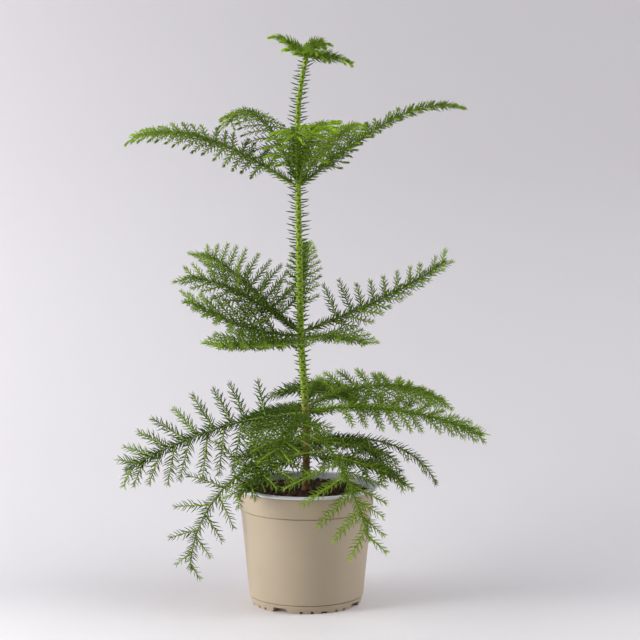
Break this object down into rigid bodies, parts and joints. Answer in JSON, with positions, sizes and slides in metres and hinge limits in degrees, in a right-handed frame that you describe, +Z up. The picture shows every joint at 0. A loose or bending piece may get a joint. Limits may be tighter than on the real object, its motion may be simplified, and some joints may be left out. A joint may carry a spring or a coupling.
{
  "type": "potted norfolk island pine",
  "caption": "Young Norfolk Island pine: one upright stem with whorls of needle-clad boughs, growing in a round plastic nursery pot that stands on its flat base.",
  "frame": {"origin": "centre of the pot's flat underside, on the surface that it stands on", "axes": "+Z up along the trunk, -Y towards the side that the picture shows, +X to that view's right"},
  "size_m": [0.4439, 0.3629, 0.6717],
  "materials": {
    "pot_plastic": "satin taupe plastic",
    "potting_mix": "rough dark peat",
    "trunk_bark": "green bark, brown at the foot",
    "bough_bark": "green bark",
    "needles": "satin green needles"
  },
  "bodies": {
    "root": {"bough_lower_back": "bough_bark", "bough_lower_back_left": "bough_bark", "bough_lower_back_right": "bough_bark", "bough_lower_front_left": "bough_bark", "bough_lower_front_right": "bough_bark", "bough_lower_left": "bough_bark", "bough_lower_right": "bough_bark", "bough_lowest_back_left": "bough_bark", "bough_lowest_back_right": "bough_bark", "bough_lowest_front_left": "bough_bark", "bough_lowest_front_right": "bough_bark", "bough_lowest_left": "bough_bark", "bough_lowest_right": "bough_bark", "bough_middle_back_left": "bough_bark", "bough_middle_back_right": "bough_bark", "bough_middle_front": "bough_bark", "bough_middle_front_left": "bough_bark", "bough_middle_front_right": "bough_bark", "bough_middle_left": "bough_bark", "bough_middle_right": "bough_bark", "bough_upper_back_left": "bough_bark", "bough_upper_back_right": "bough_bark", "bough_upper_front_left": "bough_bark", "bough_upper_front_right": "bough_bark", "bough_upper_left": "bough_bark", "bough_upper_right": "bough_bark", "frond_crown_back_left": "needles", "frond_crown_back_right": "needles", "frond_crown_front": "needles", "frond_crown_left": "needles", "frond_crown_right": "needles", "frond_lower_back": "needles", "frond_lower_back_left": "needles", "frond_lower_back_right": "needles", "frond_lower_front_left": "needles", "frond_lower_front_right": "needles", "frond_lower_left": "needles", "frond_lower_right": "needles", "frond_lowest_back_left": "needles", "frond_lowest_back_right": "needles", "frond_lowest_front_left": "needles", "frond_lowest_front_right": "needles", "frond_lowest_left": "needles", "frond_lowest_right": "needles", "frond_middle_back_left": "needles", "frond_middle_back_right": "needles", "frond_middle_front": "needles", "frond_middle_front_left": "needles", "frond_middle_front_right": "needles", "frond_middle_left": "needles", "frond_middle_right": "needles", "frond_upper_back_left": "needles", "frond_upper_back_right": "needles", "frond_upper_front_left": "needles", "frond_upper_front_right": "needles", "frond_upper_left": "needles", "frond_upper_right": "needles", "pot": "pot_plastic", "soil": "potting_mix", "trunk": "trunk_bark"}
  },
  "joints": []
}
